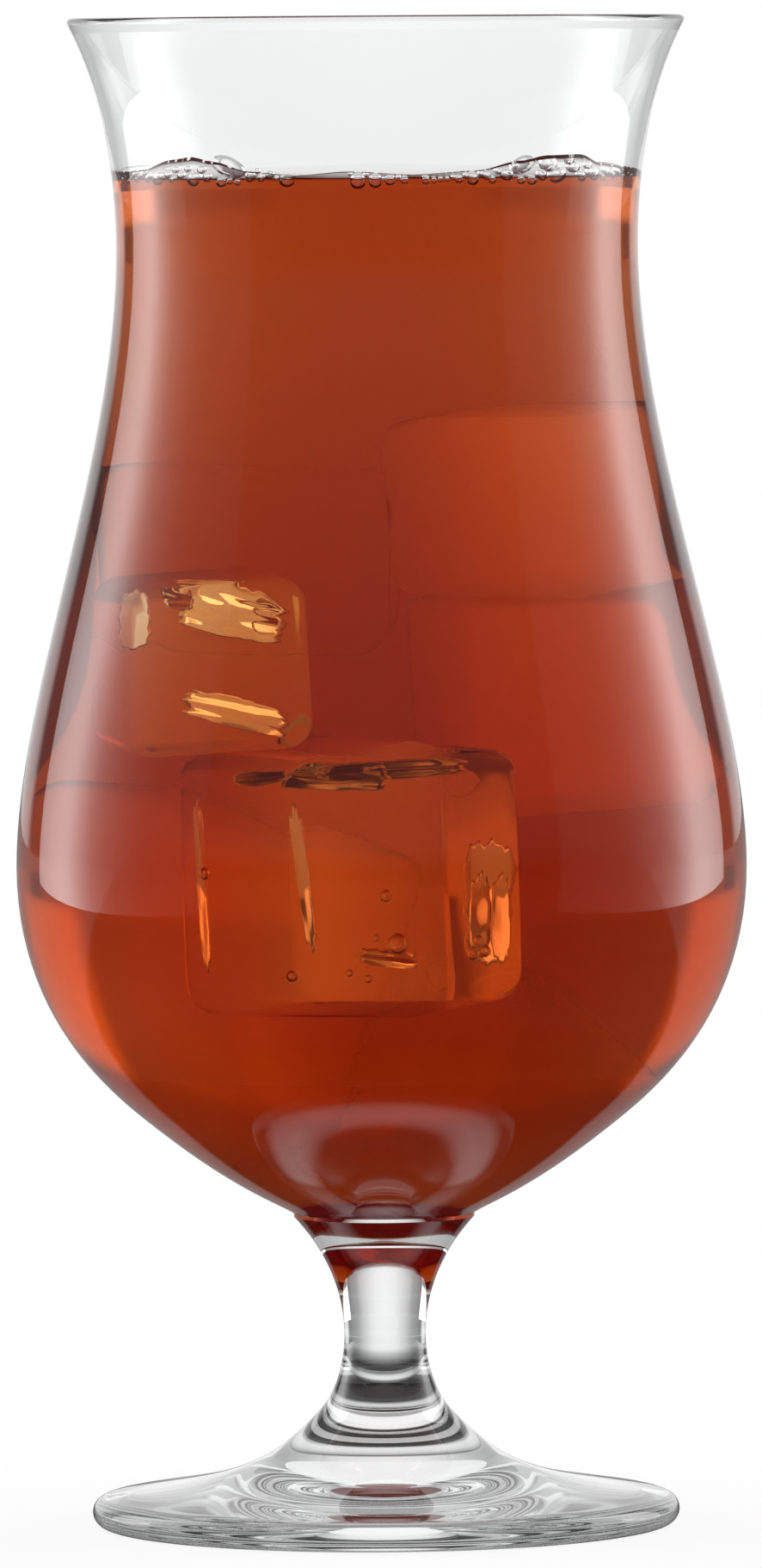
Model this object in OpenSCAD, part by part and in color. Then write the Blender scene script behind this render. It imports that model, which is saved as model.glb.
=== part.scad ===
// Hurricane cocktail glass, filled: a flared, waisted bowl on a short drawn stem and a round foot,
// with its drink, seven clear ice cubes and the bubbles at the drink's surface.
// Origin: centre of the resting face of the foot. +Z is up, and -Y is the front. Millimetres and degrees.

/* [Bowl] */
// Outside diameter of the rim
rim_d = 72.7; // [68:0.1:78]
// Height of the flared lip, from the waist up to the rim
lip_h = 27; // [23:0.5:32]
// Flare of the lip, in degrees from upright
lip_lean = 27.5; // [20:0.5:32]
// Outside diameter of the waist
waist_d = 61.5; // [60:0.1:64]
// Height of the waist above the belly
waist_h = 73; // [66:0.5:85]
// Outside diameter of the belly
belly_d = 86.2; // [84:0.1:94]
// Height of the belly above the turn into the bowl's underside
belly_h = 31.1; // [28:0.1:36]
// Outside diameter at that turn
flank_d = 53; // [51:0.1:58]
// Height of that turn above the shoulder
flank_h = 10; // [8.5:0.1:11]
// Slope of the underside at that turn, in degrees from level
flank_slope = 38.4; // [35:0.1:42]
// Diameter of the shoulder, where the bowl sits on its stem
shoulder_d = 21.3; // [18:0.1:24]
// Height of the shoulder's upright edge
shoulder_edge_h = 0.4; // [0.2:0.1:0.8]

/* [Glass wall] */
// Wall at the lip, which is rounded over
lip_wall = 1.1; // [0.9:0.05:1.4]
// Wall at the waist
waist_wall = 1.3; // [1:0.05:1.6]
// Wall at the belly
belly_wall = 1.5; // [1.2:0.05:1.7]
// Wall at the turn of the underside
flank_wall = 2; // [1.6:0.05:2.4]
// Glass under the drink, from the shoulder up to the bowl's floor
floor_wall = 4.6; // [3.5:0.1:5]

/* [Stem] */
// Diameter of the stem at its narrowest
stem_d = 9.6; // [8:0.1:12]
// Height of the stem above its narrowest place
stem_upper_h = 14; // [12:0.1:24]
// Height of the stem below its narrowest place
stem_lower_h = 8.7; // [7:0.1:14]
// Diameter of the neck, where the stem joins the foot
neck_d = 15.1; // [13:0.1:18]
// Flare of the neck, in degrees from upright
neck_lean = 41.3; // [35:0.1:46]

/* [Foot] */
// Height of the foot, table to neck
foot_h = 13.8; // [12:0.1:16]
// Outside diameter of the foot
foot_d = 69.4; // [64:0.1:76]
// Thickness of the foot's rounded rim
foot_rim_h = 3.5; // [2.5:0.1:4]
// Slope of the foot's top at the rim, in degrees
foot_slope = 9.5; // [6:0.1:14]
// Width of the flat ring that stands on the table
rest_w = 3; // [2:0.1:5]
// Rise of the shallow hollow under the foot
hollow_h = 2.2; // [1:0.1:3.5]

/* [Drink] */
// Height of the drink's surface above the waist
fill_h = 8.6; // [0:0.1:14]
// Rise of the drink where it wets the wall
meniscus_h = 1.6; // [0.8:0.1:2.4]
// Width of that rise
meniscus_w = 1.4; // [0.8:0.1:2.5]

/* [Ice] */
// Edge of a whole ice cube
ice_w = 26; // [22:0.5:26]
// Radius of a cube's melted edges
ice_round = 3; // [2:0.1:4]
// Film of drink left round a cube, so that the two solids stay clear
ice_film = 0.06; // [0.04:0.01:0.1]

/* [Froth] */
// Diameter of the largest bubble at the surface
bubble_d = 5; // [4:0.1:5.2]
// Thickness of a bubble's skin
bubble_skin = 0.2; // [0.1:0.05:0.3]
// Space between neighbouring bubbles
bubble_gap = 0.15; // [0.1:0.05:0.3]

/* [Hidden] */

// Steps along one curve of the outline, and sides of a turned surface
curve_steps = 18;
turned_sides = 120;
// Sides of a melted corner, and of a bubble
corner_sides = 16;
bubble_sides = 48;

// How far each end of a curve keeps its direction, as shares of the curve's own height or width
lip_share = 0.41;
waist_up_share = 0.174;
waist_down_share = 0.334;
belly_up_share = 0.27;
belly_down_share = 0.6;
flank_up_share = 0.187;
flank_in_share = 0.757;
shoulder_shares = [0.08, 0.1];
floor_out_share = 0.5;
floor_in_share = 0.45;
stem_top_shares = [0.12, 0.06];
stem_up_share = 0.575;
stem_down_share = 0.39;
neck_up_share = 0.29;
neck_out_share = 0.415;
foot_top_share = 0.533;
hollow_share = 0.55;
rise_in_share = 0.45;
rise_out_shares = [0.25, 0.65];

// The cubes: name, edge as a share of ice_w, then place and turn. A place is the cube's middle, seen from the
// middle of the bowl's floor, as shares of ice_w. A turn is in degrees about X, Y and Z, in that order.
ICE_SHARES = [
    ["front", 1, [-0.1, -0.49, 1.41], [-1, -1, 26]],
    ["upper_left", 0.77, [-0.67, -0.38, 2.3], [1, -3, 4]],
    ["upper_middle", 0.81, [-0.35, 0.42, 2.69], [3, 2, -3]],
    ["upper_right", 0.85, [0.55, 0.19, 2.98], [3, -2, -26]],
    ["right", 0.92, [0.66, 0.19, 2.08], [1, -3, 21]],
    ["left", 0.92, [-0.57, 0.37, 1.14], [-1, 21, 25]],
    ["bottom", 0.81, [0.37, 0.27, 0.62], [12, 35, 30]]
];

// The froth: rows of bubbles that lie side by side along the wall. A row starts at an angle from the front,
// towards +X, and holds the bubbles' diameters as shares of bubble_d.
LEFT_START = -82;
LEFT_SHARES = [0.3, 0.42, 0.36, 0.5, 0.4, 1, 0.44, 0.56, 0.38];
MIDDLE_START = -6;
MIDDLE_SHARES = [0.42, 0.3, 0.24, 0.28, 0.2, 0.26, 0.2];
RIGHT_START = 27;
RIGHT_SHARES = [0.3, 0.36, 0.84, 0.92, 0.5, 0.4, 0.34];

rim_r = rim_d / 2;
waist_r = waist_d / 2;
belly_r = belly_d / 2;
flank_r = flank_d / 2;
shoulder_r = shoulder_d / 2;
stem_r = stem_d / 2;
neck_r = neck_d / 2;
foot_rim_r = foot_rim_h / 2;
foot_edge_r = foot_d / 2 - foot_rim_r;
neck_z = foot_h;
stem_z = neck_z + stem_lower_h;
stem_top_z = stem_z + stem_upper_h;
shoulder_z = stem_top_z + shoulder_edge_h;
flank_z = shoulder_z + flank_h;
belly_z = flank_z + belly_h;
waist_z = belly_z + waist_h;
glass_h = waist_z + lip_h;
floor_z = shoulder_z + floor_wall;
drink_z = waist_z + fill_h;

glass_colour = [0.85, 0.92, 0.93, 0.4];
drink_colour = [0.64, 0.2, 0.09, 0.75];
ice_colour = [0.95, 0.75, 0.65, 0.8];
froth_colour = [0.97, 0.88, 0.86, 0.8];

// Points of a cubic curve from p to s, without its last point
function curve(p, q, r, s) = [
    for (i = [0 : curve_steps - 1])
        let (t = i / curve_steps, u = 1 - t)
            u * u * u * p + 3 * u * u * t * q + 3 * u * t * t * r + t * t * t * s
];

// Unit directions in the plane of the outline, from an angle off upright or off level
function off_upright(a) = [sin(a), cos(a)];
function off_level(a) = [cos(a), sin(a)];

// The bowl's wall is one outline, drawn at a depth below the outer face: the depth at each place is the wall
// there times in, which is 0 on the outer face and 1 on the inner one.
function lip_middle() = [rim_r - lip_wall / 2, glass_h - lip_wall / 2];
function lip_point(in) = lip_middle() + (1 - 2 * in) * lip_wall / 2 * [cos(lip_lean), -sin(lip_lean)];
function waist_point(in) = [waist_r - in * waist_wall, waist_z];
function belly_point(in) = [belly_r - in * belly_wall, belly_z];
function flank_point(in) = [flank_r, flank_z] - in * flank_wall * [sin(flank_slope), -cos(flank_slope)];

function lip_to_flank(in) =
    let (
        lip = lip_point(in), waist = waist_point(in), belly = belly_point(in), flank = flank_point(in),
        to_waist = [0, waist_h], to_belly = [0, belly_h]
    )
    concat(
        curve(lip, lip - lip_share * lip_h * off_upright(lip_lean),
            waist + [0, waist_up_share * lip_h], waist),
        curve(waist, waist - waist_down_share * to_waist, belly + belly_up_share * to_waist, belly),
        curve(belly, belly - belly_down_share * to_belly,
            flank + flank_up_share * belly_h * off_level(flank_slope), flank)
    );

function flank_to_shoulder() =
    let (flank = flank_point(0), shoulder = [shoulder_r, shoulder_z], width = flank_r - shoulder_r)
    curve(flank, flank - flank_in_share * width * off_level(flank_slope),
        shoulder + [shoulder_shares[0] * width, shoulder_shares[1] * flank_h], shoulder);

function flank_to_floor() =
    let (flank = flank_point(1))
    curve(flank, flank - floor_out_share * flank[0] * off_level(flank_slope),
        [floor_in_share * flank[0], floor_z], [0, floor_z]);

function outer_wall() = concat(lip_to_flank(0), flank_to_shoulder(), [[shoulder_r, shoulder_z]]);
function inner_wall() = concat(lip_to_flank(1), flank_to_floor(), [[0, floor_z]]);

// The lip's round, from the outer face over the top to the inner face
function lip_round() = [
    for (i = [1 : curve_steps - 1])
        let (a = -lip_lean + 180 * i / curve_steps)
            lip_middle() + lip_wall / 2 * [cos(a), sin(a)]
];

function reversed(points) = [for (i = [len(points) - 1 : -1 : 0]) points[i]];

// Radius of the inner wall at a height
function inner_r(z) = lookup(z, [for (p = reversed(inner_wall())) [p[1], p[0]]]);

module turned(points) {
    rotate_extrude($fn = turned_sides) polygon(points);
}

module bowl() {
    color(glass_colour)
        turned(concat(
            reversed(outer_wall()), lip_round(), inner_wall(), [[0, stem_top_z], [shoulder_r, stem_top_z]]
        ));
}

module stem() {
    top = [shoulder_r, stem_top_z];
    narrowest = [stem_r, stem_z];
    neck = [neck_r, neck_z];
    width = shoulder_r - stem_r;
    color(glass_colour)
        turned(concat(
            [[0, neck_z], [0, stem_top_z]],
            curve(top, top - [stem_top_shares[0] * width, stem_top_shares[1] * stem_upper_h],
                narrowest + [0, stem_up_share * stem_upper_h], narrowest),
            curve(narrowest, narrowest - [0, stem_down_share * stem_lower_h],
                neck + neck_up_share * stem_lower_h * [-sin(neck_lean), cos(neck_lean)], neck),
            [neck]
        ));
}

// The foot: a flared top, a rounded rim, a flat ring to stand on and a shallow hollow inside the ring
module foot() {
    neck = [neck_r, neck_z];
    width = foot_edge_r - neck_r;
    rim_middle = [foot_edge_r, foot_rim_r];
    rim_top = rim_middle + foot_rim_r * off_upright(foot_slope);
    ring_r = foot_edge_r - rest_w;
    color(glass_colour)
        turned(concat(
            [[0, hollow_h], [0, neck_z]],
            curve(neck, neck + neck_out_share * width * [sin(neck_lean), -cos(neck_lean)],
                rim_top + foot_top_share * width * [-cos(foot_slope), sin(foot_slope)], rim_top),
            [
                for (i = [0 : curve_steps])
                    let (a = (90 - foot_slope) * (1 - i / curve_steps) - 90 * i / curve_steps)
                        rim_middle + foot_rim_r * [cos(a), sin(a)]
            ],
            curve([ring_r, 0], [hollow_share * ring_r, hollow_share * hollow_h],
                [hollow_share * ring_r, hollow_h], [0, hollow_h])
        ));
}

// The drink lies against the inner wall, with a rise where it wets the wall and a room for each cube
module drink() {
    contact_z = drink_z + meniscus_h;
    contact = [inner_r(contact_z), contact_z];
    foot_of_rise = contact - [meniscus_w, meniscus_h];
    color(drink_colour)
        difference() {
            turned(concat(
                [[0, drink_z]],
                curve(foot_of_rise, foot_of_rise + [rise_in_share * meniscus_w, 0],
                    contact - [rise_out_shares[0] * meniscus_w, rise_out_shares[1] * meniscus_h], contact),
                [contact],
                [for (p = inner_wall()) if (p[1] < contact_z) p]
            ));
            for (cube = ICE_SHARES) ice_solid(cube, ice_film);
        }
}

// A melted cube: eight rounded corners joined, grown all round by film
module ice_solid(cube, film) {
    reach = cube[1] * ice_w / 2 - ice_round;
    translate([0, 0, floor_z] + ice_w * cube[2])
        rotate(cube[3])
            hull()
                for (x = [-reach, reach], y = [-reach, reach], z = [-reach, reach])
                    translate([x, y, z]) sphere(r = ice_round + film, $fn = corner_sides);
}

module ice(name) {
    color(ice_colour)
        for (cube = ICE_SHARES)
            if (cube[0] == name) ice_solid(cube, 0);
}

// One bubble at the surface: a thin dome
module bubble(d) {
    difference() {
        sphere(d = d, $fn = bubble_sides);
        sphere(d = d - 2 * bubble_skin, $fn = bubble_sides);
        translate([0, 0, -d / 2]) cube([2 * d, 2 * d, d], center = true);
    }
}

function sum_to(values, n) = n == 0 ? 0 : values[n - 1] + sum_to(values, n - 1);

// A row of bubbles along the wall, each beside the last and clear of the drink's rise
module froth(start, shares) {
    wall_r = inner_r(drink_z) - meniscus_w - bubble_gap;
    row_r = wall_r - bubble_d / 2;
    steps = [for (s = shares) s * bubble_d + bubble_gap];
    color(froth_colour)
        for (i = [0 : len(shares) - 1]) {
            d = shares[i] * bubble_d;
            along = sum_to(steps, i) + d / 2;
            turn = start + along / row_r * 180 / PI;
            rotate(turn) translate([0, d / 2 - wall_r, drink_z]) bubble(d);
        }
}

module froth_left() { froth(LEFT_START, LEFT_SHARES); }
module froth_middle() { froth(MIDDLE_START, MIDDLE_SHARES); }
module froth_right() { froth(RIGHT_START, RIGHT_SHARES); }

bowl();
stem();
foot();
drink();
ice("front");  // ice_front
ice("upper_left");  // ice_upper_left
ice("upper_middle");  // ice_upper_middle
ice("upper_right");  // ice_upper_right
ice("right");  // ice_right
ice("left");  // ice_left
ice("bottom");  // ice_bottom
froth_left();
froth_middle();
froth_right();
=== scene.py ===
"""Dresses a filled hurricane cocktail glass: the blown glass, its drink, ice cubes, froth and air bubbles."""
import math

import bpy
from mathutils import Matrix, Vector
from mathutils.noise import noise


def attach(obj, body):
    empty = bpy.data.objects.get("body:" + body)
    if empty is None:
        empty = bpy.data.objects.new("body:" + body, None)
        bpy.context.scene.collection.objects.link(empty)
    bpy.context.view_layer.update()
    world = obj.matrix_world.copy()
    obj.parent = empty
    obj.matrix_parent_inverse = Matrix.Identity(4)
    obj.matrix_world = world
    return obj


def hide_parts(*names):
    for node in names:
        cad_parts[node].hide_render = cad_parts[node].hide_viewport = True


bl_info = {
    "name": "Hurricane glass",
    "version": (1, 0, 0),
    "blender": (4, 5, 0),
    "location": "3D View > Sidebar > Glass",
    "description": "Models a filled hurricane cocktail glass and the studio around it",
    "category": "Add Mesh",
}

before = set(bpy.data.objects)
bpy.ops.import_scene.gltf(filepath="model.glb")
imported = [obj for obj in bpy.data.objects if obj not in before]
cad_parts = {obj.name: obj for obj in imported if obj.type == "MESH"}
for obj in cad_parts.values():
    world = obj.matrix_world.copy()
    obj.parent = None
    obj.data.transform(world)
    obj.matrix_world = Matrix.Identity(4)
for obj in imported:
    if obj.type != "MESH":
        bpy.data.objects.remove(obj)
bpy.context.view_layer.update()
MM = 0.001

# Light bends between two media by the ratio of their indices
AIR, GLASS, DRINK, ICE = 1.0, 1.52, 1.345, 1.45
# The next three are chosen for the look, and lower than real ones. Under the sweetest of the drink the glass
# nearly vanishes in the photograph
FLOOR_IOR = 1.02
# It does so up to this height over the turn of the underside
SWEET_H = 8 * MM
# The bead of the lip shows as a thin bright line, without the dark one that the full index gives
BEAD_IOR = 1.2
# The cubes with more of the drink before them show only soft edges
FAR_ICE_IOR = 1.012

# Where the handles of the outline's curves lie, as shares of the width or height that each curve spans
FLOOR_OUT, FLOOR_IN = 0.45, 0.5
FLANK_UP, BELLY_DOWN = 0.187, 0.6
BELLY_UP, WAIST_DOWN = 0.27, 0.334
WAIST_UP, LIP_DOWN = 0.174, 0.41
FLANK_IN, SHOULDER_OUT, SHOULDER_UP = 0.757, 0.08, 0.1
STEM_TOP_IN, STEM_TOP_DOWN, STEM_UP = 0.12, 0.06, 0.575
STEM_DOWN, NECK_UP, NECK_OUT = 0.39, 0.29, 0.415
FOOT_IN, HOLLOW_IN = 0.533, 0.55
RISE_IN, RISE_OUT, RISE_DOWN = 0.5, 0.34, 0.8

# Points along each curve of a section: more where it bends more
GLASS_CUTS = [16, 26, 30, 26, 8, 8, 26, 30, 26, 16, 1, 24, 20, 54, 12, 12, 2, 34]
DRINK_CUTS = [2, 14, 24, 30, 26, 16]
SKIN_CUTS = [2, 14, 1, 14, 2]
# Points nearer to each other than this, in metres, become one
MERGE = 1e-6
# Edges that meet at a wider angle than this stay sharp
SHARP = math.radians(40)

# Each cube: its edge, then its middle seen from the middle of the bowl's floor, as shares of a whole cube's
# edge, and its turn in degrees
ICE_W = 26 * MM
CUBES = {
    "front": (1, (-0.1, -0.49, 1.41), (-1, -1, 26)),
    "upper_left": (0.77, (-0.67, -0.38, 2.3), (1, -3, 4)),
    "upper_middle": (0.81, (-0.35, 0.42, 2.69), (3, 2, -3)),
    "upper_right": (0.85, (0.55, 0.19, 2.98), (3, -2, -26)),
    "right": (0.92, (0.66, 0.19, 2.08), (1, -3, 21)),
    "left": (0.92, (-0.57, 0.37, 1.14), (-1, 21, 25)),
    "bottom": (0.81, (0.37, 0.27, 0.62), (12, 35, 30)),
}
# The cubes that show clearly, and those that have the most of the drink round them, which take the drink's
# own tint as painted shade; the other far cubes take a lighter tint as painted backlight
NEAR_CUBES = ("front", "upper_left")
PAINTED_SHADE_CUBES = ("upper_middle", "bottom")

# Height of the drink's edge on the wall over its usual place, in millimetres, by degrees from the front
EDGE_RISE = [
    (-90, 0.2), (-70, 0.1), (-62, 0.3), (-50, 1.5), (-44, 1.8), (-39, 1.3), (-28, 0), (-18, -0.4), (-6, 0),
    (8, -0.4), (22, 0), (33, 1.1), (40, 1.7), (50, 1.8), (58, 0.7), (68, 0.3), (90, -0.3), (120, 0.3),
    (150, -0.2), (180, 0.2), (210, -0.3), (240, 0.3), (270, 0.2),
]
# The wall's points as far over or under the drink's edge as this move with it, but not those near the axis
EDGE_REACH = 6 * MM
CORE_R = 20 * MM


def length(name, text, millimetres):
    return bpy.props.FloatProperty(name=name, description=text, default=millimetres * MM, unit="LENGTH")


def angle(name, text, degrees):
    return bpy.props.FloatProperty(name=name, description=text, default=math.radians(degrees), subtype="ANGLE")


def linear(code):
    """Turns an sRGB hex colour into the linear numbers that shaders take."""
    parts = [int(code[i:i + 2], 16) / 255 for i in (0, 2, 4)]
    return [p / 12.92 if p <= 0.04045 else ((p + 0.055) / 1.055) ** 2.4 for p in parts]


def colour(name, text, code):
    return bpy.props.FloatVectorProperty(name=name, description=text, default=linear(code), subtype="COLOR",
                                         min=0, max=1)


class BowlSizes(bpy.types.PropertyGroup):
    """Outline and wall of the bowl."""
    rim_r: length("Rim radius", "Outside radius of the rim", 36.35)
    lip_h: length("Lip height", "Height of the flared lip above the waist", 27)
    lip_lean: angle("Lip flare", "Flare of the lip from upright", 27.5)
    waist_r: length("Waist radius", "Outside radius of the waist", 30.75)
    waist_h: length("Waist height", "Height of the waist above the belly", 73)
    belly_r: length("Belly radius", "Outside radius of the belly", 43.1)
    belly_h: length("Belly height", "Height of the belly above the turn of the underside", 31.1)
    flank_r: length("Flank radius", "Outside radius at the turn of the underside", 26.5)
    flank_h: length("Flank height", "Height of that turn above the shoulder", 10)
    flank_slope: angle("Flank slope", "Slope of the underside at that turn, from level", 38.4)
    shoulder_r: length("Shoulder radius", "Radius of the shoulder that sits on the stem", 10.65)
    shoulder_edge: length("Shoulder edge", "Height of the shoulder's upright edge", 0.4)
    lip_wall: length("Lip wall", "Wall at the lip", 1.1)
    waist_wall: length("Waist wall", "Wall at the waist", 1.3)
    belly_wall: length("Belly wall", "Wall at the belly", 1.5)
    flank_wall: length("Flank wall", "Wall at the turn of the underside", 2)
    floor_wall: length("Floor wall", "Glass under the drink", 4.6)


class StandSizes(bpy.types.PropertyGroup):
    """Stem and foot."""
    stem_r: length("Stem radius", "Radius of the stem at its narrowest", 4.8)
    stem_upper_h: length("Upper stem", "Height of the stem above its narrowest place", 14)
    stem_lower_h: length("Lower stem", "Height of the stem below its narrowest place", 8.7)
    neck_r: length("Neck radius", "Radius where the stem joins the foot", 7.55)
    neck_lean: angle("Neck flare", "Flare of the neck from upright", 41.3)
    foot_h: length("Foot height", "Height of the foot from table to neck", 13.8)
    foot_r: length("Foot radius", "Outside radius of the foot", 34.7)
    foot_rim: length("Foot rim", "Thickness of the foot's rounded rim", 3.5)
    foot_slope: angle("Foot slope", "Slope of the foot's top at its rim", 9.5)
    rest_w: length("Resting ring", "Width of the flat ring that stands on the table", 3)
    hollow_h: length("Hollow", "Rise of the hollow under the foot", 2.2)


class FillSizes(bpy.types.PropertyGroup):
    """Drink, ice and bubbles."""
    fill_h: length("Fill height", "Height of the drink's surface above the waist", 8.15)
    rise_h: length("Rise at the wall", "Height that the drink climbs where it wets the wall", 0.9)
    rise_w: length("Width of that rise", "Width of the drink's rise at the wall", 0.9)
    seam: length("Seam", "Room between the drink and the walls that hold it, too thin to see", 0.02)
    cube_round: length("Melted edge", "Radius of a cube's melted edges", 3)
    depth_tint: colour("Depth tint", "What 10 mm of the drink lets through", "EDB244")
    ice_tint: colour("Ice tint", "What 10 mm of the near ice lets through", "FFF3D8")
    # The lighter tint of the far ice is painted backlight: it makes some far cubes glow as if lit from behind
    painted_backlight_tint: colour("Painted backlight tint of far ice", "What 10 mm of the far ice, lightened as painted backlight, lets through", "FFD288")


# Outlines

def off_upright(a):
    return Vector((math.sin(a), 0, math.cos(a)))


def off_level(a):
    return Vector((math.cos(a), 0, math.sin(a)))


def point(r, z):
    return Vector((r, 0, z))


def line(p, q):
    return [p, p.lerp(q, 1 / 3), p.lerp(q, 2 / 3), q]


def arcs(middle, r, start, end, count):
    """A round of count Bezier curves about middle, between two angles from level."""
    step = (end - start) / count
    reach = 4 / 3 * math.tan(step / 4) * r
    out = []
    for i in range(count):
        a, b = start + i * step, start + (i + 1) * step
        p, q = middle + r * off_level(a), middle + r * off_level(b)
        out.append([p, p + reach * off_level(a + math.pi / 2), q - reach * off_level(b + math.pi / 2), q])
    return out


def turned_back(curves):
    """The same curves, run from the last point to the first."""
    return [list(reversed(curve)) for curve in reversed(curves)]


def along(curve, t):
    p, q, r, s = curve
    u = 1 - t
    return u * u * u * p + 3 * u * u * t * q + 3 * u * t * t * r + t * t * t * s


def rising(curve):
    """Points along a rising Bezier curve, close enough together to read its radius at a height."""
    return [along(curve, i / 200) for i in range(201)]


def wall_r(points, z):
    """Radius at height z of a rising row of points."""
    for p, q in zip(points, points[1:]):
        if p.z <= z <= q.z:
            return p.x + (q.x - p.x) * (z - p.z) / (q.z - p.z)
    return points[0].x if z < points[0].z else points[-1].x


def cut_at(curve, z):
    """The part of a rising Bezier curve under height z."""
    low, high = 0.0, 1.0
    for _ in range(50):
        t = (low + high) / 2
        low, high = (t, high) if along(curve, t).z < z else (low, t)
    p, q, r, s = curve
    pq, qr, rs = p.lerp(q, t), q.lerp(r, t), r.lerp(s, t)
    return [p, pq, pq.lerp(qr, t), along(curve, t)]


class Outline:
    """Heights and curves of the glass, worked out from the sizes as its solids are."""

    def __init__(self, scene):
        self.b, self.s, self.f = b, s, f = scene.glass_bowl, scene.glass_stand, scene.glass_fill
        self.neck_z = s.foot_h
        self.stem_z = self.neck_z + s.stem_lower_h
        self.stem_top_z = self.stem_z + s.stem_upper_h
        self.shoulder_z = self.stem_top_z + b.shoulder_edge
        self.flank_z = self.shoulder_z + b.flank_h
        self.belly_z = self.flank_z + b.belly_h
        self.waist_z = self.belly_z + b.waist_h
        self.rim_z = self.waist_z + b.lip_h
        self.floor_z = self.shoulder_z + b.floor_wall
        self.drink_z = self.waist_z + f.fill_h
        self.contact_z = self.drink_z + f.rise_h
        self.lip_middle = point(b.rim_r - b.lip_wall / 2, self.rim_z - b.lip_wall / 2)

    def wall(self, inside, seam=0.0):
        """Curves from the turn of the underside up to the lip. inside is 0 on the outer face and 1 inside."""
        b = self.b
        across = Vector((math.cos(b.lip_lean), 0, -math.sin(b.lip_lean)))
        lip = self.lip_middle + ((1 - 2 * inside) * b.lip_wall / 2 - seam) * across
        waist = point(b.waist_r - inside * b.waist_wall - seam, self.waist_z)
        belly = point(b.belly_r - inside * b.belly_wall - seam, self.belly_z)
        inwards = Vector((-math.sin(b.flank_slope), 0, math.cos(b.flank_slope)))
        flank = point(b.flank_r, self.flank_z) + (inside * b.flank_wall + seam) * inwards
        return [
            [flank, flank + FLANK_UP * b.belly_h * off_level(b.flank_slope),
             belly - point(0, BELLY_DOWN * b.belly_h), belly],
            [belly, belly + point(0, BELLY_UP * b.waist_h), waist - point(0, WAIST_DOWN * b.waist_h), waist],
            [waist, waist + point(0, WAIST_UP * b.lip_h),
             lip - LIP_DOWN * b.lip_h * off_upright(b.lip_lean), lip],
        ]

    def floor(self, seam=0.0):
        """The curve from the middle of the bowl's floor to the turn of the underside."""
        flank = self.wall(1, seam)[0][0]
        z = self.floor_z + seam
        return [point(0, z), point(FLOOR_OUT * flank.x, z),
                flank - FLOOR_IN * flank.x * off_level(self.b.flank_slope), flank]

    def glass(self):
        """The whole section, from the bowl's floor over the lip to the middle of the foot's hollow."""
        b, s = self.b, self.s
        outer = self.wall(0)
        curves = [self.floor()] + self.wall(1)
        curves += arcs(self.lip_middle, b.lip_wall / 2, math.pi - b.lip_lean, -b.lip_lean, 2)
        curves += turned_back(outer)
        flank, width = outer[0][0], b.flank_r - b.shoulder_r
        shoulder, top = point(b.shoulder_r, self.shoulder_z), point(b.shoulder_r, self.stem_top_z)
        curves.append([flank, flank - FLANK_IN * width * off_level(b.flank_slope),
                       shoulder + point(SHOULDER_OUT * width, SHOULDER_UP * b.flank_h), shoulder])
        curves.append(line(shoulder, top))
        narrow, neck = point(s.stem_r, self.stem_z), point(s.neck_r, self.neck_z)
        width = b.shoulder_r - s.stem_r
        curves.append([top, top - point(STEM_TOP_IN * width, STEM_TOP_DOWN * s.stem_upper_h),
                       narrow + point(0, STEM_UP * s.stem_upper_h), narrow])
        up = Vector((-math.sin(s.neck_lean), 0, math.cos(s.neck_lean)))
        curves.append([narrow, narrow - point(0, STEM_DOWN * s.stem_lower_h),
                       neck + NECK_UP * s.stem_lower_h * up, neck])
        round_r = s.foot_rim / 2
        middle = point(s.foot_r - round_r, round_r)
        width = middle.x - s.neck_r
        edge = middle + round_r * off_upright(s.foot_slope)
        inwards = Vector((-math.cos(s.foot_slope), 0, math.sin(s.foot_slope)))
        curves.append([neck, neck - NECK_OUT * width * up, edge + FOOT_IN * width * inwards, edge])
        curves += arcs(middle, round_r, math.pi / 2 - s.foot_slope, -math.pi / 2, 2)
        ring = point(middle.x - s.rest_w, 0)
        curves.append(line(point(middle.x, 0), ring))
        x = HOLLOW_IN * ring.x
        curves.append([ring, point(x, HOLLOW_IN * s.hollow_h), point(x, s.hollow_h), point(0, s.hollow_h)])
        return curves

    def drink(self, seams=1, under=0.0):
        """The drink's section, from the middle of its surface to the wall and down to the bowl's floor. It
        stands off the wall by as many seams, and its surface is as low as under."""
        f = self.f
        inner = self.wall(1, seams * f.seam)
        last = cut_at(inner[2], self.contact_z - under)
        contact = last[3]
        low = contact - point(f.rise_w, f.rise_h)
        top = [line(point(0, self.drink_z - under), low),
               [low, low + point(RISE_IN * f.rise_w, 0),
                contact - point(RISE_OUT * f.rise_w, RISE_DOWN * f.rise_h), contact]]
        return top + turned_back([self.floor(seams * f.seam), inner[0], inner[1], last])

    def skin(self, thick):
        """The section of the drink's skin: its free surface, and as far under it as thick."""
        top = self.drink()[:2]
        contact, down = top[1][3], point(0, thick)
        return top + [line(contact, contact - down)] + [[v - down for v in reversed(c)] for c in reversed(top)]


# Modelling by hand

def start():
    """Leaves edit mode and lets go of everything, as a new piece needs."""
    if bpy.context.mode != "OBJECT":
        bpy.ops.object.mode_set(mode="OBJECT")
    bpy.ops.object.select_all(action="DESELECT")


def take(piece):
    """Selects one piece alone."""
    start()
    piece.select_set(True)
    bpy.context.view_layer.objects.active = piece


def edit(piece, action="SELECT"):
    """Edit mode, with everything selected, or nothing, or with no action the faces chosen before."""
    take(piece)
    bpy.ops.object.mode_set(mode="EDIT")
    if action:
        bpy.ops.mesh.select_all(action=action)


def leave():
    bpy.ops.object.mode_set(mode="OBJECT")


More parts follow.
